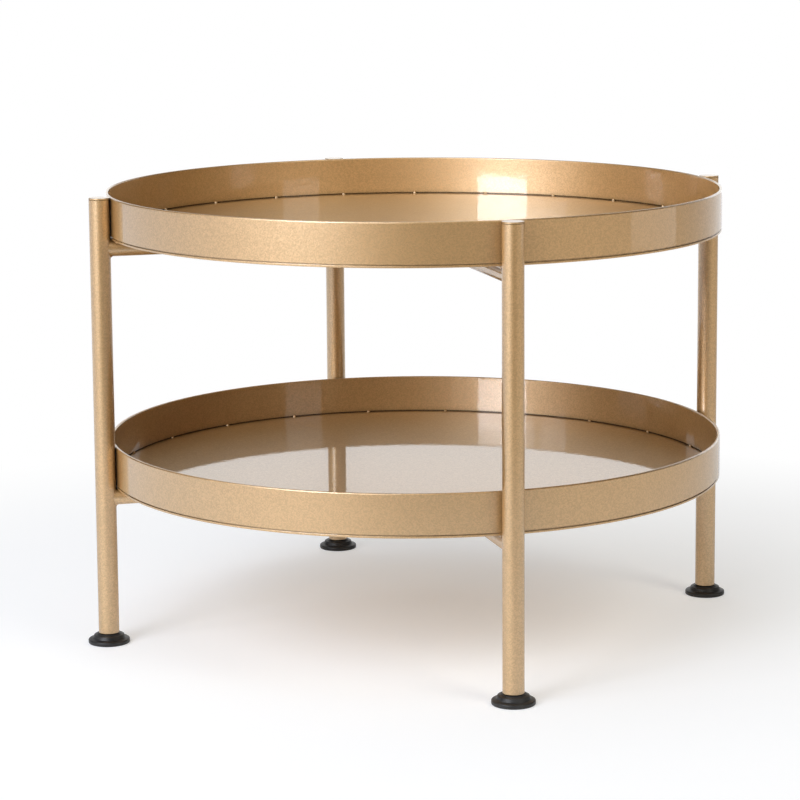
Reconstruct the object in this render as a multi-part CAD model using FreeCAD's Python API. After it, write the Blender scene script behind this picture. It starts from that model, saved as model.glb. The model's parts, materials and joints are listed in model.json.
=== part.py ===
import FreeCAD, Part
import math
import os

# A round coffee table with two trays. All sizes are in millimetres and degrees.
# The origin is on the floor under the middle of the table. Z is up, and the legs stand on the X and Y axes.

# Trays: a flat-bar rim that stands on a sheet disc of the same diameter, with a groove along each side of the seam.
TABLE_HEIGHT = 433.0
TRAY_SPACING = 241.0
TRAY_DIAMETER = 600.0
DISC_THICKNESS = 2.0
DISC_EDGE_ROUND = 0.4
RIM_HEIGHT = 38.5
RIM_THICKNESS = 3.0
RIM_EDGE_ROUND = 1.2
SEAM_GROOVE_HEIGHT = 1.0
SEAM_GROOVE_DEPTH = 1.1
SEAM_EDGE_ROUND = 0.3

# Tack welds along the inner seam, evenly spaced. The start angle is counted from the right leg.
TACK_RADIUS = 2.0
UPPER_TACK_COUNT = 24
UPPER_TACK_START = -1.4
LOWER_TACK_COUNT = 22
LOWER_TACK_START = 1.9

# Legs: round tubes that stand close against the rims, each closed by a cap on top.
LEG_DIAMETER = 20.0
LEG_WALL = 1.5
LEG_GAP = 0.02
LEG_END_CHAMFER = 0.6
CAP_THICKNESS = 2.0
CAP_EDGE_ROUND = 0.6
CAP_SEAM_CHAMFER = 0.5
CAP_SPIGOT_LENGTH = 4.0
CAP_SPIGOT_CLEARANCE = 0.1

# Braces: round tubes that carry the trays and run from leg to leg.
BRACE_DIAMETER = 16.0
BRACE_WALL = 1.5
COPE_GAP = 0.3
BRACE_WELD_SIZE = 2.4
BRACE_WELD_DROP = 0.4
CROSS_BEAD_RADIUS = 2.5
STITCH_LENGTH = 25.0
STITCH_OFFSET = 5.0
STITCH_FILL = 1.15
STITCH_INNER_PLACE = 90.0
STITCH_OUTER_PLACE = 200.0
STITCH_EDGE_MARGIN = 16.0

# Feet: a moulded pad that swivels on the head of a threaded stud.
FOOT_DIAMETER = 40.0
FOOT_HEIGHT = 9.5
FOOT_GAP = 0.3
FLANGE_HEIGHT = 3.9
FLANGE_RISE = 0.9
FLANGE_ROUND = 1.2
SOLE_ROUND = 0.8
STEP_DIAMETER = 31.0
STEP_DRAFT = 1.0
STEP_HEIGHT = 3.2
STEP_ROUND = 0.8
COLLAR_DIAMETER = 23.0
COLLAR_HEIGHT = 0.6
THREAD_DIAMETER = 8.0
THREAD_CLEARANCE = 0.05
STUD_REACH = 22.0
STUD_CHAMFER = 0.8
HEAD_DIAMETER = 14.0
HEAD_THICKNESS = 3.0
HEAD_CLEARANCE = 0.05
SOLE_THICKNESS = 2.5
INSERT_LENGTH = 25.0
INSERT_RECESS = 0.5
INSERT_CHAMFER = 0.8

# Sizes that follow from those above.
TRAY_RADIUS = TRAY_DIAMETER / 2
RIM_INNER_RADIUS = TRAY_RADIUS - RIM_THICKNESS
SEAM_RADIUS = RIM_INNER_RADIUS + SEAM_GROOVE_DEPTH
UPPER_TRAY_BOTTOM = TABLE_HEIGHT - RIM_HEIGHT - DISC_THICKNESS
LOWER_TRAY_BOTTOM = UPPER_TRAY_BOTTOM - TRAY_SPACING
LEG_RADIUS = LEG_DIAMETER / 2
LEG_BORE_RADIUS = LEG_RADIUS - LEG_WALL
LEG_CIRCLE_RADIUS = TRAY_RADIUS + LEG_GAP + LEG_RADIUS
LEG_BOTTOM = FOOT_HEIGHT + FOOT_GAP
LEG_TOP = TABLE_HEIGHT - CAP_THICKNESS
BRACE_RADIUS = BRACE_DIAMETER / 2
STITCH_EDGE_PLACE = TRAY_RADIUS - STITCH_EDGE_MARGIN
THREAD_RADIUS = THREAD_DIAMETER / 2
HOLE_RADIUS = THREAD_RADIUS + THREAD_CLEARANCE
HEAD_RADIUS = HEAD_DIAMETER / 2
HEAD_BOTTOM = SOLE_THICKNESS + HEAD_CLEARANCE
HEAD_TOP = HEAD_BOTTOM + HEAD_THICKNESS
LEG_ANGLES = {"right": 0.0, "back": 90.0, "left": 180.0, "front": 270.0}

SAME_PLACE = 0.001
ORIGIN = FreeCAD.Vector(0, 0, 0)
X_AXIS = FreeCAD.Vector(1, 0, 0)
Z_AXIS = FreeCAD.Vector(0, 0, 1)


def turned(shape, angle):
    """Copy of a shape, turned about the table's axis."""
    copy = shape.copy()
    copy.rotate(ORIGIN, Z_AXIS, angle)
    return copy


def moved(shape, x, y, z):
    """Copy of a shape, moved."""
    copy = shape.copy()
    copy.translate(FreeCAD.Vector(x, y, z))
    return copy


def revolved(points):
    """Solid turned about Z from a closed outline of (radius, height) points."""
    corners = [FreeCAD.Vector(radius, 0, height) for radius, height in points]
    outline = Part.makePolygon(corners + corners[:1])
    return Part.Face(outline).revolve(ORIGIN, Z_AXIS, 360)


def round_edges(solid, places):
    """Circular edges of a turned solid at the given (radius, height) places."""
    found = []
    for edge in solid.Edges:
        if isinstance(edge.Curve, Part.Circle):
            place = (edge.Curve.Radius, edge.Curve.Center.z)
            if any(math.dist(place, wanted) < SAME_PLACE for wanted in places):
                found.append(edge)
    return found


def tray_disc(bottom):
    """Sheet disc with softened edges."""
    top = bottom + DISC_THICKNESS
    disc = Part.makeCylinder(TRAY_RADIUS, DISC_THICKNESS, FreeCAD.Vector(0, 0, bottom))
    return disc.makeFillet(DISC_EDGE_ROUND, round_edges(disc, [(TRAY_RADIUS, bottom), (TRAY_RADIUS, top)]))


def tray_rim(bottom):
    """Flat bar rolled to a ring, with rounded upper edges, on a land between the two seam grooves."""
    low = bottom + DISC_THICKNESS
    step = low + SEAM_GROOVE_HEIGHT
    high = low + RIM_HEIGHT
    upper_edges = [(TRAY_RADIUS, high), (RIM_INNER_RADIUS, high)]
    lower_edges = [(RIM_INNER_RADIUS, step), (TRAY_RADIUS, step)]
    land = [(SEAM_RADIUS, low), (TRAY_RADIUS - SEAM_GROOVE_DEPTH, low)]
    land_top = [(TRAY_RADIUS - SEAM_GROOVE_DEPTH, step), (SEAM_RADIUS, step)]
    ring = revolved(land + land_top[:1] + lower_edges[1:] + upper_edges + lower_edges[:1] + land_top[1:])
    ring = ring.makeFillet(SEAM_EDGE_ROUND, round_edges(ring, lower_edges))
    return ring.makeFillet(RIM_EDGE_ROUND, round_edges(ring, upper_edges))


def tack_welds(bottom, count, start):
    """Beads in the corner between a rim's inner face and its disc, run into the inner groove."""
    seam = bottom + DISC_THICKNESS
    room = Part.makeCylinder(SEAM_RADIUS, RIM_HEIGHT, FreeCAD.Vector(0, 0, seam))
    ball = Part.makeSphere(TACK_RADIUS, FreeCAD.Vector(RIM_INNER_RADIUS, 0, seam))
    bead = ball.common(room).cut(tray_rim(bottom))
    return Part.makeCompound([turned(bead, start + index * 360 / count) for index in range(count)])


def leg_tube():
    """Leg on the +X side, with its lower outer edge broken."""
    tube = revolved([
        (LEG_BORE_RADIUS, LEG_BOTTOM),
        (LEG_RADIUS - LEG_END_CHAMFER, LEG_BOTTOM),
        (LEG_RADIUS, LEG_BOTTOM + LEG_END_CHAMFER),
        (LEG_RADIUS, LEG_TOP),
        (LEG_BORE_RADIUS, LEG_TOP),
    ])
    return moved(tube, LEG_CIRCLE_RADIUS, 0, 0)


def leg_cap():
    """Disc that closes the leg, on a short spigot in the tube."""
    spigot_radius = LEG_BORE_RADIUS - CAP_SPIGOT_CLEARANCE
    cap = revolved([
        (0, LEG_TOP - CAP_SPIGOT_LENGTH),
        (spigot_radius, LEG_TOP - CAP_SPIGOT_LENGTH),
        (spigot_radius, LEG_TOP),
        (LEG_RADIUS - CAP_SEAM_CHAMFER, LEG_TOP),
        (LEG_RADIUS, LEG_TOP + CAP_SEAM_CHAMFER),
        (LEG_RADIUS, TABLE_HEIGHT),
        (0, TABLE_HEIGHT),
    ])
    rounded = cap.makeFillet(CAP_EDGE_ROUND, round_edges(cap, [(LEG_RADIUS, TABLE_HEIGHT)]))
    return moved(rounded, LEG_CIRCLE_RADIUS, 0, 0)


def leg_insert():
    """Threaded round insert, pressed into the lower end of the leg."""
    low = LEG_BOTTOM + INSERT_RECESS
    high = low + INSERT_LENGTH
    insert = revolved([
        (HOLE_RADIUS + INSERT_CHAMFER, low),
        (LEG_BORE_RADIUS, low),
        (LEG_BORE_RADIUS, high),
        (HOLE_RADIUS, high),
        (HOLE_RADIUS, low + INSERT_CHAMFER),
    ])
    return moved(insert, LEG_CIRCLE_RADIUS, 0, 0)


def foot_pad():
    """Stepped moulded pad, with a closed pocket for the head of the stud."""
    flange_radius = FOOT_DIAMETER / 2
    step_radius = STEP_DIAMETER / 2
    step_low = FLANGE_HEIGHT + FLANGE_RISE
    step_high = step_low + STEP_HEIGHT
    collar_radius = COLLAR_DIAMETER / 2
    pocket_radius = HEAD_RADIUS + HEAD_CLEARANCE
    pocket_top = HEAD_TOP + HEAD_CLEARANCE
    pad = revolved([
        (0, 0),
        (flange_radius, 0),
        (flange_radius, FLANGE_HEIGHT),
        (step_radius, step_low),
        (step_radius - STEP_DRAFT, step_high),
        (collar_radius, FOOT_HEIGHT - COLLAR_HEIGHT),
        (collar_radius, FOOT_HEIGHT),
        (HOLE_RADIUS, FOOT_HEIGHT),
        (HOLE_RADIUS, pocket_top),
        (pocket_radius, pocket_top),
        (pocket_radius, SOLE_THICKNESS),
        (0, SOLE_THICKNESS),
    ])
    pad = pad.makeFillet(SOLE_ROUND, round_edges(pad, [(flange_radius, 0)]))
    pad = pad.makeFillet(FLANGE_ROUND, round_edges(pad, [(flange_radius, FLANGE_HEIGHT)]))
    steps = [(step_radius, step_low), (step_radius - STEP_DRAFT, step_high)]
    pad = pad.makeFillet(STEP_ROUND, round_edges(pad, steps))
    return moved(pad, LEG_CIRCLE_RADIUS, 0, 0)


def foot_stud():
    """Stud with a round head in the pad and its thread in the leg's insert."""
    top = LEG_BOTTOM + STUD_REACH
    stud = revolved([
        (0, HEAD_BOTTOM),
        (HEAD_RADIUS, HEAD_BOTTOM),
        (HEAD_RADIUS, HEAD_TOP),
        (THREAD_RADIUS, HEAD_TOP),
        (THREAD_RADIUS, top - STUD_CHAMFER),
        (THREAD_RADIUS - STUD_CHAMFER, top),
        (0, top),
    ])
    return moved(stud, LEG_CIRCLE_RADIUS, 0, 0)


def arm_rod(radius, axis_height, near, far):
    """Round bar along +X, between two distances from the table's axis."""
    return Part.makeCylinder(radius, far - near, FreeCAD.Vector(near, 0, axis_height), X_AXIS)


def leg_rod(x, low, high):
    """Solid bar as thick as a leg."""
    return Part.makeCylinder(LEG_RADIUS, high - low, FreeCAD.Vector(x, 0, low))


def brace_tube(axis_height, near, far):
    """Plain tube along +X."""
    outside = arm_rod(BRACE_RADIUS, axis_height, near, far)
    return outside.cut(arm_rod(BRACE_RADIUS - BRACE_WALL, axis_height, near, far))


def cross_tube(axis_height):
    """Brace from the left leg to the right leg, with both ends coped to the legs."""
    tube = brace_tube(axis_height, -LEG_CIRCLE_RADIUS, LEG_CIRCLE_RADIUS)
    low = axis_height - LEG_DIAMETER
    high = axis_height + LEG_DIAMETER
    return tube.cut([leg_rod(-LEG_CIRCLE_RADIUS, low, high), leg_rod(LEG_CIRCLE_RADIUS, low, high)])


def half_brace(axis_height):
    """Brace from the cross tube to the leg on the +X side, coped at both ends."""
    tube = brace_tube(axis_height, 0, LEG_CIRCLE_RADIUS)
    leg = leg_rod(LEG_CIRCLE_RADIUS, axis_height - LEG_DIAMETER, axis_height + LEG_DIAMETER)
    cope = turned(arm_rod(BRACE_RADIUS + COPE_GAP, axis_height, -BRACE_DIAMETER, BRACE_DIAMETER), 90)
    return tube.cut([leg, cope])


def brace_end_weld(axis_height):
    """Fillet weld round the brace end at the leg on the +X side, open on top to stay clear of the tray."""
    reach = BRACE_RADIUS + LEG_RADIUS
    leg = leg_rod(LEG_CIRCLE_RADIUS, axis_height - reach, axis_height + reach)
    brace = arm_rod(BRACE_RADIUS, axis_height, LEG_CIRCLE_RADIUS - 2 * reach, LEG_CIRCLE_RADIUS)
    joined = leg.fuse(brace).removeSplitter()
    saddle = [edge for edge in joined.Edges if isinstance(edge.Curve, Part.BSplineCurve)]
    top = axis_height + BRACE_RADIUS - BRACE_WELD_DROP
    above = Part.makeBox(2 * reach, 2 * reach, reach, FreeCAD.Vector(LEG_CIRCLE_RADIUS - 2 * reach, -reach, top))
    return joined.makeFillet(BRACE_WELD_SIZE, saddle).cut([leg, brace, above])


def cross_beads(axis_height):
    """Beads in the four corners where the half braces meet the cross tube."""
    corner = BRACE_RADIUS + COPE_GAP
    ball = Part.makeSphere(CROSS_BEAD_RADIUS, FreeCAD.Vector(corner, corner, axis_height))
    along_x = arm_rod(BRACE_RADIUS, axis_height, -BRACE_DIAMETER, 2 * BRACE_DIAMETER)
    bead = ball.cut([along_x, turned(along_x, 90)])
    return Part.makeCompound([turned(bead, angle) for angle in LEG_ANGLES.values()])


def stitch_welds(tray_bottom):
    """Short beads on both sides of each brace, in the corner under the disc."""
    drop = BRACE_RADIUS - math.sqrt(BRACE_RADIUS ** 2 - STITCH_OFFSET ** 2)
    brace = arm_rod(BRACE_RADIUS, tray_bottom - BRACE_RADIUS, 0, LEG_CIRCLE_RADIUS)
    beads = []
    for place in (STITCH_INNER_PLACE, STITCH_OUTER_PLACE, STITCH_EDGE_PLACE):
        for side in (-STITCH_OFFSET, STITCH_OFFSET):
            start = FreeCAD.Vector(place - STITCH_LENGTH / 2, side, tray_bottom - drop)
            bar = Part.makeCylinder(drop * STITCH_FILL, STITCH_LENGTH, start, X_AXIS)
            under_disc = Part.makeBox(
                STITCH_LENGTH, BRACE_DIAMETER, BRACE_DIAMETER,
                FreeCAD.Vector(start.x, side - BRACE_RADIUS, tray_bottom - BRACE_DIAMETER))
            beads.append(bar.common(under_disc).cut(brace))
    return Part.makeCompound([turned(bead, angle) for angle in LEG_ANGLES.values() for bead in beads])


def tier_pieces(tier, tray_bottom, tack_count, tack_start):
    """One tray and the cross of braces under it, by node name."""
    axis_height = tray_bottom - BRACE_RADIUS
    half = half_brace(axis_height)
    end_weld = brace_end_weld(axis_height)
    pieces = {
        tier + "_tray_disc": tray_disc(tray_bottom),
        tier + "_tray_rim": tray_rim(tray_bottom),
        tier + "_tray_tack_welds": tack_welds(tray_bottom, tack_count, tack_start),
        tier + "_tray_stitch_welds": stitch_welds(tray_bottom),
        tier + "_cross_tube": cross_tube(axis_height),
        tier + "_half_brace_back": turned(half, LEG_ANGLES["back"]),
        tier + "_half_brace_front": turned(half, LEG_ANGLES["front"]),
        tier + "_cross_beads": cross_beads(axis_height),
    }
    for side, angle in LEG_ANGLES.items():
        pieces[tier + "_brace_weld_" + side] = turned(end_weld, angle)
    return pieces


def leg_pieces():
    """The four legs with their caps, inserts and feet, by node name."""
    one_leg = {
        "leg_": leg_tube(),
        "leg_cap_": leg_cap(),
        "leg_insert_": leg_insert(),
        "foot_pad_": foot_pad(),
        "foot_stud_": foot_stud(),
    }
    return {name + side: turned(shape, angle)
            for name, shape in one_leg.items()
            for side, angle in LEG_ANGLES.items()}


def main():
    os.makedirs("parts", exist_ok=True)
    pieces = leg_pieces()
    pieces.update(tier_pieces("upper", UPPER_TRAY_BOTTOM, UPPER_TACK_COUNT, UPPER_TACK_START))
    pieces.update(tier_pieces("lower", LOWER_TRAY_BOTTOM, LOWER_TACK_COUNT, LOWER_TACK_START))
    for name, shape in pieces.items():
        shape.exportStep("parts/" + name + ".step")


main()
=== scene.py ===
import json
import math

import bmesh
import bpy
from mathutils import Matrix, Vector


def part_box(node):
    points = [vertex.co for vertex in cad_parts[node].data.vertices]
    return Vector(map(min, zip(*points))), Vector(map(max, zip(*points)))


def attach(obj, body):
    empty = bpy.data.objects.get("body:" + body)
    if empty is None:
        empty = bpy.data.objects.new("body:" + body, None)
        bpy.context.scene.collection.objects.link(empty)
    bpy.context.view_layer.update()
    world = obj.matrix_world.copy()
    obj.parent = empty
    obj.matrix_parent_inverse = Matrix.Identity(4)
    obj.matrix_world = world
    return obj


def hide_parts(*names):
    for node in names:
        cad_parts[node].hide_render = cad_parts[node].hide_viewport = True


# Looks of a round coffee table with two gold trays, around its CAD frame.
# Lengths are in metres and angles in degrees, unless a comment says otherwise. Colours are in linear light.

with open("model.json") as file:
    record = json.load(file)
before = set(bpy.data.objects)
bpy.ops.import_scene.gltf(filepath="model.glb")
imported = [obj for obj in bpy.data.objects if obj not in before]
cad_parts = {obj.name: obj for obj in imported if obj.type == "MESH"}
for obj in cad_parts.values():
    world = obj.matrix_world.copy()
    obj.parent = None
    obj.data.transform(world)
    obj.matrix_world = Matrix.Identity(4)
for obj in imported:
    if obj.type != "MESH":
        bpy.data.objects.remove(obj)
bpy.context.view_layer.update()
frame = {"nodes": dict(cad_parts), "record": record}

WHITE = (1.0, 1.0, 1.0)

# Camera, at the photograph's viewing angle. Yaw is clockwise from +Y, and pitch is above the horizon.
CAMERA_PLACE = (-0.7335, -2.5322, 0.7087)
CAMERA_YAW = 15.85
CAMERA_PITCH = -8.46
CAMERA_ROLL = -0.41

# Sensor and lens, in millimetres, and the camera's shift as a share of the sensor's width.
SENSOR_WIDTH = 36.0
LENS = 121.92
CAMERA_SHIFT_Y = -0.12

# Gold paint: pale and deep flakes under a rippled clear coat.
FLAKE_SIZE = 0.0011
FLAKE_TILT = 0.06
FLAKE_SHADE = 0.09
FLAKE_MEAN = (0.5, 0.5, 0.5)
PALE_FLAKE = (0.80, 0.74, 0.59)
DEEP_GOLD = (0.58, 0.308, 0.062)
PALE_ROUGHNESS = 0.42
DEEP_ROUGHNESS = 0.60
PALE_SHARE = 0.35
COAT_ROUGHNESS = 0.03
COAT_IOR = 1.5
PEEL_SIZE = 0.006
PEEL_DETAIL = 1.0
PEEL_HEIGHT = 0.000030

# Painted shade in crevices and corners, darkening the paint by how open the surface is. It is paler in the
# seam outside a rim.
OPENNESS_SAMPLES = 8
CREVICE_REACH = 0.0015
CREVICE_OPENNESS = (0.3, 0.8)
CREVICE_SHADE = 0.12
CORNER_REACH = 0.010
CORNER_OPENNESS = (0.3, 0.9)
CORNER_SHADE = 0.70
OUTER_SEAM_SHADE = 0.80
TRAY_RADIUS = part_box("upper_tray_disc")[1].x
OUTER_SEAM_START = TRAY_RADIUS - 0.0016
OUTER_SEAM_END = TRAY_RADIUS - 0.0002
SEAM_BLEND = 0.0002

# Black plastic and plated steel, each with soft clouds in its shade and roughness.
CLOUD_DETAIL = 4.0
CLOUD_BAND = (0.3, 0.7)
PLASTIC_CLOUD_SIZE = 0.012
PLASTIC_SHADES = (0.010, 0.024)
PLASTIC_ROUGHNESS = (0.40, 0.52)
PLASTIC_GRAIN_SIZE = 0.0006
PLASTIC_GRAIN_DETAIL = 3.0
PLASTIC_GRAIN_HEIGHT = 0.00003
PLASTIC_GRAIN_STRENGTH = 0.6
STEEL_CLOUD_SIZE = 0.004
STEEL_SHADES = (0.52, 0.68)
STEEL_ROUGHNESS = (0.28, 0.42)

# Threads of the levelling studs. Crest and flanks are shares of the pitch, and angles are in radians.
THREAD_RADIUS = 0.004
THREAD_PITCH = 0.00125
THREAD_DEPTH = 0.00065
CREST_SHARE = 0.125
FLANKS_SHARE = 0.625
ROWS_PER_TURN = 8
STUD_SIDES = 40
STUD_ANGLES = [math.tau * step / STUD_SIDES for step in range(STUD_SIDES)]
STUD_HEAD_HEIGHT = 0.003
STUD_TIP = 0.0008
STUD_CREASE = math.radians(50)

# Studio. Bearings are seen from the table, in degrees to the right of the camera.
CAMERA_BEARING = math.degrees(math.atan2(CAMERA_PLACE[1], CAMERA_PLACE[0]))

# Level that the upright lamps' elevations are counted from, and their distance from the table's axis.
TRAY_LEVEL = 0.41
LAMP_DISTANCE = 3.0

# Each upright lamp: bearing, half its width as an angle, lowest and highest elevation, and radiance.
LAMPS = {
    "key_softbox_edge": (-37.5, 10.6, 5.3, 8.0, 17.0),
    "key_softbox": (-37.5, 10.6, 8.0, 34.0, 8.9),
    "key_softbox_top": (-37.5, 10.6, 34.0, 50.0, 2.9),
    "left_softbox": (-57.0, 9.0, 7.0, 50.0, 3.0),
    "left_wall": (-78.0, 12.0, 14.0, 50.0, 0.5),
    "left_strip": (-101.0, 8.0, 3.0, 6.4, 1.0),
    "front_fill": (-17.0, 10.0, 16.0, 50.0, 3.0),
    "right_softbox_edge": (48.0, 8.0, 5.6, 9.0, 2.0),
    "right_softbox": (46.0, 12.0, 19.0, 50.0, 4.3),
    "right_upper": (66.0, 10.0, 32.0, 50.0, 1.2),
    "right_panel": (94.0, 12.5, -7.2, -4.0, 0.8),
    "backdrop_low": (180.0, 42.0, -6.0, 12.0, 1.24),
    "backdrop_high": (180.0, 42.0, 12.0, 35.0, 0.52),
}

# Each lamp above the table: bearing, distance from the table's axis, width and radiance.
OVERHEAD_HEIGHT = 2.8
OVERHEAD_LAMPS = {
    "overhead_back": (180.0, 1.2, 1.6, 0.95),
    "overhead_left": (-90.0, 0.6, 1.6, 1.3),
}

# Tints of the lamps that aren't white.
WARM_LIGHT = (1.10, 1.0, 0.84)
COOL_LIGHT = (0.99, 1.0, 1.08)
LAMP_TINTS = {
    "key_softbox_edge": COOL_LIGHT,
    "key_softbox": COOL_LIGHT,
    "key_softbox_top": COOL_LIGHT,
    "left_softbox": COOL_LIGHT,
    "right_softbox": WARM_LIGHT,
    "right_upper": WARM_LIGHT,
}

# Floor. Over each fade, a pair of distances from the table's axis, it turns into its far look.
FLOOR_RADIUS = 6.0
FLOOR_SIDES = 96
FLOOR_DROP = 0.0002
FLOOR_COLOUR = (0.86, 0.90, 0.94)
FLOOR_GLOW = 0.20
# Painted light: the seen fade starts close to the table's axis, so the floor brightens steadily outwards
# and lifts the outer parts of the table's shadow.
SEEN_FADE = (0.08, 0.9)
GLOSS_FADE = (0.3, 1.9)

# What the gloss shows of the room, and of the far floor as a bearing and a colour for each direction. The
# far floor's colours are a painted reflection: it glows with them only in the gloss.
ROOM_GLOSS = 0.04
FLOOR_GLOSS = {
    "left": (-90.0, (1.16, 1.18, 1.27)),
    "right": (76.0, (0.99, 0.81, 0.60)),
    "front": (0.0, (0.05, 0.05, 0.05)),
    "back": (180.0, (1.06, 1.07, 1.10)),
}


def shader_tree(block):
    """Empty node tree of a material or world."""
    block.use_nodes = True
    block.node_tree.nodes.clear()
    return block.node_tree


def add_node(tree, kind, inputs=None, **settings):
    """Node of a kind, with its settings, and its inputs set to values or linked to sockets."""
    node = tree.nodes.new("ShaderNode" + kind)
    for name, value in settings.items():
        setattr(node, name, value)
    for name, value in (inputs or {}).items():
        if isinstance(value, bpy.types.NodeSocket):
            tree.links.new(value, node.inputs[name])
        else:
            node.inputs[name].default_value = value
    return node


def new_material(name):
    """Material, its node tree, which is empty but for the surface's place, and that place's socket."""
    material = bpy.data.materials.new(name)
    tree = shader_tree(material)
    return material, tree, add_node(tree, "TexCoord").outputs["Object"]


def product_of(tree, first, second):
    """Product of two value sockets or numbers."""
    return add_node(tree, "Math", {0: first, 1: second}, operation="MULTIPLY").outputs[0]


def larger_of(tree, first, second):
    """Larger of two value sockets or numbers."""
    return add_node(tree, "Math", {0: first, 1: second}, operation="MAXIMUM").outputs[0]


def vector_sum(tree, first, second):
    """Sum of two vectors or colours."""
    return add_node(tree, "VectorMath", {0: first, 1: second}, operation="ADD").outputs[0]


def scaled(tree, vector, factor):
    """Vector or colour times a value."""
    return add_node(tree, "VectorMath", {0: vector, "Scale": factor}, operation="SCALE").outputs[0]


def unit_vector(tree, vector):
    """Vector of the same direction, with length 1."""
    return add_node(tree, "VectorMath", {0: vector}, operation="NORMALIZE").outputs[0]


def length_of(tree, vector):
    """Length of a vector."""
    return add_node(tree, "VectorMath", {0: vector}, operation="LENGTH").outputs["Value"]


def ranged(tree, value, low, high, start, end, course="SMOOTHSTEP"):
    """Value taken from low..high to start..end, held at the ends."""
    inputs = {"Value": value, "From Min": low, "From Max": high, "To Min": start, "To Max": end}
    return add_node(tree, "MapRange", inputs, interpolation_type=course).outputs["Result"]


def noise(tree, place, size, detail):
    """Noise whose grains have a size in metres."""
    inputs = {"Vector": place, "Scale": 1 / size, "Detail": detail}
    return add_node(tree, "TexNoise", inputs).outputs["Fac"]


def openness(tree, reach):
    """1 on open surfaces, less where other surfaces stand within reach."""
    return add_node(tree, "AmbientOcclusion", {"Distance": reach}, samples=OPENNESS_SAMPLES).outputs["AO"]


def painted_crevice_shade(tree, place):
    """Painted shade in crevices: 1 on open surfaces, less in crevices; it is paler in the seams outside the
    rims.
    """
    flat = add_node(tree, "VectorMath", {0: place, 1: (1, 1, 0)}, operation="MULTIPLY").outputs[0]
    radius = length_of(tree, flat)
    from_inside = ranged(tree, radius, OUTER_SEAM_START, OUTER_SEAM_START + SEAM_BLEND, 0.0, 1.0)
    from_outside = ranged(tree, radius, OUTER_SEAM_END - SEAM_BLEND, OUTER_SEAM_END, 1.0, 0.0)
    outer_seam = product_of(tree, from_inside, from_outside)
    shade = ranged(tree, outer_seam, 0.0, 1.0, CREVICE_SHADE, OUTER_SEAM_SHADE)
    return ranged(tree, openness(tree, CREVICE_REACH), *CREVICE_OPENNESS, shade, 1.0)


def tilted_flakes(tree, flakes):
    """Normal of the flakes, each tilted its own way."""
    centred = add_node(tree, "VectorMath", {0: flakes, 1: FLAKE_MEAN}, operation="SUBTRACT").outputs[0]
    normal = add_node(tree, "NewGeometry").outputs["Normal"]
    return unit_vector(tree, vector_sum(tree, normal, scaled(tree, centred, FLAKE_TILT)))


def gold_layer(tree, colour, roughness, grain_and_painted_shade, flake_normal, coat, peel_normal):
    """Metal flakes of one colour under the clear coat."""
    return add_node(tree, "BsdfPrincipled", {
        "Base Color": scaled(tree, colour, grain_and_painted_shade),
        "Metallic": 1.0,
        "Roughness": roughness,
        "Normal": flake_normal,
        "Coat Weight": coat,
        "Coat Roughness": COAT_ROUGHNESS,
        "Coat IOR": COAT_IOR,
        "Coat Normal": peel_normal,
    }).outputs[0]


def gold_paint():
    """Gold metallic paint under a clear coat: pale flakes over deep gold, with painted shade in crevices
    and corners.
    """
    material, tree, place = new_material("gold_metallic_paint")
    flakes = add_node(tree, "TexVoronoi", {"Vector": place, "Scale": 1 / FLAKE_SIZE}).outputs["Color"]
    shade = add_node(tree, "SeparateColor", {"Color": flakes}).outputs["Red"]
    grain = ranged(tree, shade, 0.0, 1.0, 1 - FLAKE_SHADE, 1 + FLAKE_SHADE)
    # Painted shade: darkens the paint's colour and lowers its clear coat in crevices.
    shade_in_crevices = painted_crevice_shade(tree, place)
    # Painted shade: the paint's colour is darkened within reach of corners.
    painted_corner_shade = ranged(tree, openness(tree, CORNER_REACH), *CORNER_OPENNESS, CORNER_SHADE, 1.0)
    grain_and_painted_shade = product_of(tree, grain, product_of(tree, shade_in_crevices, painted_corner_shade))
    flake_normal = tilted_flakes(tree, flakes)
    peel = noise(tree, place, PEEL_SIZE, PEEL_DETAIL)
    peel_normal = add_node(tree, "Bump", {"Height": peel, "Distance": PEEL_HEIGHT}).outputs["Normal"]
    # The clear coat's weight falls in crevices, a painted shade on its reflections there.
    deep = gold_layer(tree, DEEP_GOLD, DEEP_ROUGHNESS, grain_and_painted_shade, flake_normal, shade_in_crevices, peel_normal)
    pale = gold_layer(tree, PALE_FLAKE, PALE_ROUGHNESS, grain_and_painted_shade, flake_normal, shade_in_crevices, peel_normal)
    mixed = add_node(tree, "MixShader", {0: PALE_SHARE, 1: deep, 2: pale}).outputs[0]
    add_node(tree, "OutputMaterial", {"Surface": mixed})
    return material


def cloudy_grey(tree, place, size, shades, roughness):
    """Colour and roughness of a grey surface with soft clouds."""
    cloud = noise(tree, place, size, CLOUD_DETAIL)
    shade = ranged(tree, cloud, *CLOUD_BAND, *shades)
    colour = add_node(tree, "CombineColor", {"Red": shade, "Green": shade, "Blue": shade}).outputs[0]
    return colour, ranged(tree, cloud, *CLOUD_BAND, *roughness)


def black_plastic():
    """Moulded black plastic with a fine satin texture."""
    material, tree, place = new_material("black_satin_plastic")
    colour, roughness = cloudy_grey(tree, place, PLASTIC_CLOUD_SIZE, PLASTIC_SHADES, PLASTIC_ROUGHNESS)
    grain = add_node(tree, "Bump", {
        "Height": noise(tree, place, PLASTIC_GRAIN_SIZE, PLASTIC_GRAIN_DETAIL),
        "Distance": PLASTIC_GRAIN_HEIGHT,
        "Strength": PLASTIC_GRAIN_STRENGTH,
    }).outputs["Normal"]
    shader = add_node(tree, "BsdfPrincipled", {
        "Base Color": colour,
        "Roughness": roughness,
        "Normal": grain,
    }).outputs[0]
    add_node(tree, "OutputMaterial", {"Surface": shader})
    return material


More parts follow.
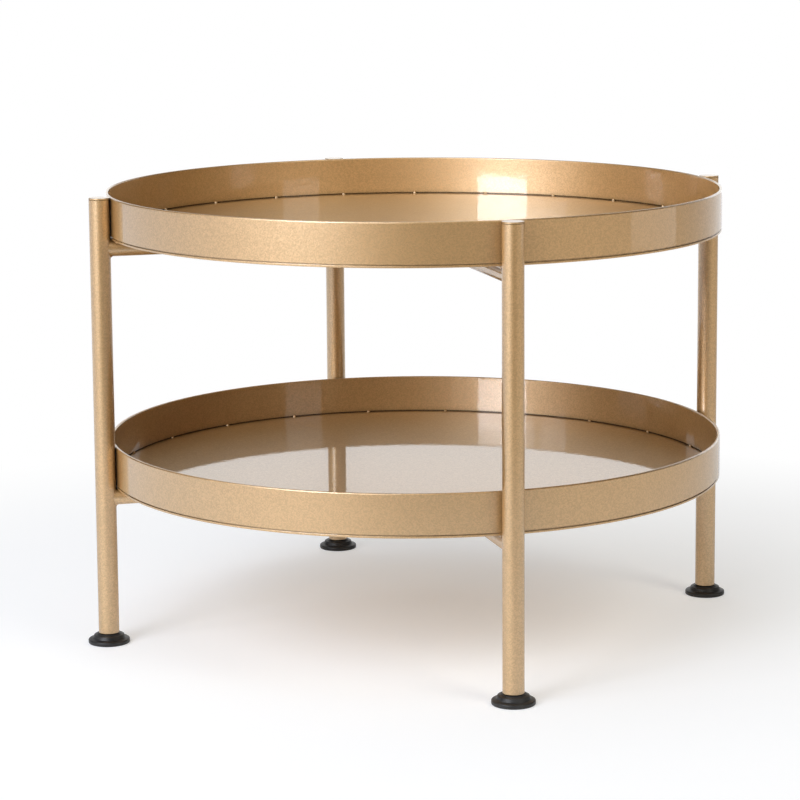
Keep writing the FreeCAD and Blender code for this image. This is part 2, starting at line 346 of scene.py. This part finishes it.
def plated_steel():
    """Zinc-plated steel with faint cloudiness."""
    material, tree, place = new_material("zinc_plated_steel")
    colour, roughness = cloudy_grey(tree, place, STEEL_CLOUD_SIZE, STEEL_SHADES, STEEL_ROUGHNESS)
    shader = add_node(tree, "BsdfPrincipled", {
        "Base Color": colour,
        "Metallic": 1.0,
        "Roughness": roughness,
    }).outputs[0]
    add_node(tree, "OutputMaterial", {"Surface": shader})
    return material


def finish_nodes(finishes):
    """Gives every CAD node the material of its slot."""
    for part in frame["record"]["subparts"]:
        mesh = frame["nodes"][part["node"]].data
        mesh.materials.clear()
        mesh.materials.append(finishes[part["material_slot"]])


def thread_radius(height, angle):
    """Radius of a right-hand thread at a height and an angle."""
    phase = (height / THREAD_PITCH - angle / math.tau) % 1.0
    from_crest = abs(2 * phase - 1)
    fall = min(1.0, max(0.0, (from_crest - CREST_SHARE) / FLANKS_SHARE))
    return THREAD_RADIUS - THREAD_DEPTH * fall


def ring_of(shape, height, radii):
    """Ring of points at a height, with a radius for each angle."""
    return [shape.verts.new((radius * math.cos(angle), radius * math.sin(angle), height))
            for radius, angle in zip(radii, STUD_ANGLES)]


def stud_rings(shape, length, head_radius):
    """Rings of points up a stud: two for its head, then the thread up to its tapered tip."""
    rings = [ring_of(shape, height, [head_radius] * STUD_SIDES) for height in (0.0, STUD_HEAD_HEIGHT)]
    rows = round((length - STUD_HEAD_HEIGHT) / THREAD_PITCH * ROWS_PER_TURN)
    for row in range(rows + 1):
        height = STUD_HEAD_HEIGHT + (length - STUD_HEAD_HEIGHT) * row / rows
        tip_radius = THREAD_RADIUS - max(0.0, height - (length - STUD_TIP))
        radii = [min(tip_radius, thread_radius(height, angle)) for angle in STUD_ANGLES]
        rings.append(ring_of(shape, height, radii))
    return rings


def stud_mesh(name, length, head_radius):
    """Closed mesh of a stud that stands on the origin."""
    shape = bmesh.new()
    rings = stud_rings(shape, length, head_radius)
    for below, above in zip(rings, rings[1:]):
        for step in range(STUD_SIDES):
            after = (step + 1) % STUD_SIDES
            shape.faces.new((below[step], below[after], above[after], above[step]))
    shape.faces.new(reversed(rings[0]))
    shape.faces.new(rings[-1])
    for face in shape.faces:
        face.smooth = True
    mesh = bpy.data.meshes.new(name)
    shape.to_mesh(mesh)
    shape.free()
    mesh.set_sharp_from_angle(angle=STUD_CREASE)
    return mesh


def threaded_stud(side, steel):
    """Stud of a levelling foot, with its thread, in place of the plain one."""
    node = "foot_stud_" + side
    low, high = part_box(node)
    mesh = stud_mesh("threaded_stud_" + side, high.z - low.z, (high.x - low.x) / 2)
    mesh.materials.append(steel)
    stud = bpy.data.objects.new(mesh.name, mesh)
    stud.location = ((low.x + high.x) / 2, (low.y + high.y) / 2, low.z)
    bpy.context.scene.collection.objects.link(stud)
    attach(stud, "stud_" + side)
    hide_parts(node)


def from_table(bearing, distance, height):
    """Place at a bearing from the camera's side of the table."""
    angle = math.radians(CAMERA_BEARING + bearing)
    return Vector((distance * math.cos(angle), distance * math.sin(angle), height))


def area_lamp(name, place, target, width, height, radiance):
    """Rectangular lamp that faces a target, white or tinted, with the power for its radiance."""
    light = bpy.data.lights.new(name, "AREA")
    light.shape = "RECTANGLE"
    light.size = width
    light.size_y = height
    light.energy = radiance * math.pi * width * height
    light.color = LAMP_TINTS.get(name, WHITE)
    lamp = bpy.data.objects.new(name, light)
    lamp.location = place
    lamp.rotation_euler = (target - place).to_track_quat("-Z", "Y").to_euler()
    lamp.visible_camera = False
    bpy.context.scene.collection.objects.link(lamp)


def studio_lamps():
    """Softboxes and bright panels round the table, and soft lamps above it."""
    for name, (bearing, half_angle, low, high, radiance) in LAMPS.items():
        bottom = TRAY_LEVEL + LAMP_DISTANCE * math.tan(math.radians(low))
        top = TRAY_LEVEL + LAMP_DISTANCE * math.tan(math.radians(high))
        width = 2 * LAMP_DISTANCE * math.tan(math.radians(half_angle))
        place = from_table(bearing, LAMP_DISTANCE, (bottom + top) / 2)
        area_lamp(name, place, Vector((0, 0, place.z)), width, top - bottom, radiance)
    for name, (bearing, distance, width, radiance) in OVERHEAD_LAMPS.items():
        place = from_table(bearing, distance, OVERHEAD_HEIGHT)
        area_lamp(name, place, Vector((place.x, place.y, 0)), width, width, radiance)


def seen_rays(tree):
    """1 for rays that show the background: from the camera, or through glass."""
    path = add_node(tree, "LightPath").outputs
    return larger_of(tree, path["Is Camera Ray"], path["Is Transmission Ray"])


def studio_world():
    """White background, and a dim room for the gloss."""
    world = bpy.data.worlds.new("studio")
    tree = shader_tree(world)
    bpy.context.scene.world = world
    world.cycles.sampling_method = "NONE"
    shown = ranged(tree, seen_rays(tree), 0.0, 1.0, ROOM_GLOSS, 1.0)
    background = add_node(tree, "Background", {"Color": WHITE + (1.0,), "Strength": shown}).outputs[0]
    add_node(tree, "OutputWorld", {"Surface": background})


def towards(tree, direction, bearing):
    """Square of the part of a unit direction that points to a bearing, 0 if it points away."""
    inputs = {0: direction, 1: from_table(bearing, 1, 0)}
    along = add_node(tree, "VectorMath", inputs, operation="DOT_PRODUCT").outputs["Value"]
    ahead = larger_of(tree, along, 0.0)
    return product_of(tree, ahead, ahead)


def near_floor(tree, seen, glossy):
    """Matt white floor that glows a little where it is seen or mirrored."""
    matt = add_node(tree, "BsdfDiffuse", {"Color": FLOOR_COLOUR + (1.0,)}).outputs[0]
    strength = product_of(tree, larger_of(tree, seen, glossy), FLOOR_GLOW)
    glow = add_node(tree, "Emission", {"Strength": strength}).outputs[0]
    return add_node(tree, "AddShader", {0: matt, 1: glow}).outputs[0]


def far_floor(tree, place, seen):
    """White where it is seen, and in the gloss a painted reflection with a colour for each direction."""
    direction = unit_vector(tree, place)
    gloss = (0.0, 0.0, 0.0)
    for bearing, colour in FLOOR_GLOSS.values():
        gloss = vector_sum(tree, gloss, scaled(tree, colour, towards(tree, direction, bearing)))
    mirrored = add_node(tree, "Emission", {"Color": gloss}).outputs[0]
    white = add_node(tree, "Emission").outputs[0]
    return add_node(tree, "MixShader", {0: seen, 1: mirrored, 2: white}).outputs[0]


def floor_finish():
    """White floor, which keeps shadows, fades into the backdrop and is open from below. Its seen fade
    starts near the table and paints light over the outer parts of the table's shadow.
    """
    material, tree, place = new_material("white_floor")
    seen = seen_rays(tree)
    glossy = add_node(tree, "LightPath").outputs["Is Glossy Ray"]
    reach = length_of(tree, place)
    # Painted light: the seen floor turns white from near the table outwards, lifting its shadow's outer
    # parts.
    seen_fade = product_of(tree, ranged(tree, reach, *SEEN_FADE, 0.0, 1.0, "LINEAR"), seen)
    gloss_fade = product_of(tree, ranged(tree, reach, *GLOSS_FADE, 0.0, 1.0), glossy)
    fade = larger_of(tree, seen_fade, gloss_fade)
    near = near_floor(tree, seen, glossy)
    far = far_floor(tree, place, seen)
    faded = add_node(tree, "MixShader", {0: fade, 1: near, 2: far}).outputs[0]
    below = add_node(tree, "NewGeometry").outputs["Backfacing"]
    clear = add_node(tree, "BsdfTransparent").outputs[0]
    surface = add_node(tree, "MixShader", {0: below, 1: faded, 2: clear}).outputs[0]
    add_node(tree, "OutputMaterial", {"Surface": surface})
    return material


def studio_floor():
    """Round white floor under the feet."""
    mesh = bpy.data.meshes.new("floor")
    shape = bmesh.new()
    bmesh.ops.create_circle(shape, cap_ends=True, radius=FLOOR_RADIUS, segments=FLOOR_SIDES)
    shape.to_mesh(mesh)
    shape.free()
    mesh.materials.append(floor_finish())
    floor = bpy.data.objects.new("floor", mesh)
    floor.location.z = -FLOOR_DROP
    bpy.context.scene.collection.objects.link(floor)


def camera():
    """Camera at the photograph's place."""
    data = bpy.data.cameras.new("camera")
    data.sensor_width = SENSOR_WIDTH
    data.lens = LENS
    data.shift_y = CAMERA_SHIFT_Y
    holder = bpy.data.objects.new("camera", data)
    turn = Matrix.Rotation(math.radians(-CAMERA_YAW), 4, "Z")
    tip = Matrix.Rotation(math.radians(90 + CAMERA_PITCH), 4, "X")
    roll = Matrix.Rotation(math.radians(CAMERA_ROLL), 4, "Z")
    holder.matrix_world = Matrix.Translation(CAMERA_PLACE) @ turn @ tip @ roll
    bpy.context.scene.collection.objects.link(holder)
    bpy.context.scene.camera = holder


finishes = {"gold_paint": gold_paint(), "black_plastic": black_plastic(), "plated_steel": plated_steel()}
finish_nodes(finishes)
for side in ("right", "back", "left", "front"):
    threaded_stud(side, finishes["plated_steel"])
studio_floor()
studio_lamps()
studio_world()
camera()
bpy.context.scene.view_settings.view_transform = "Standard"
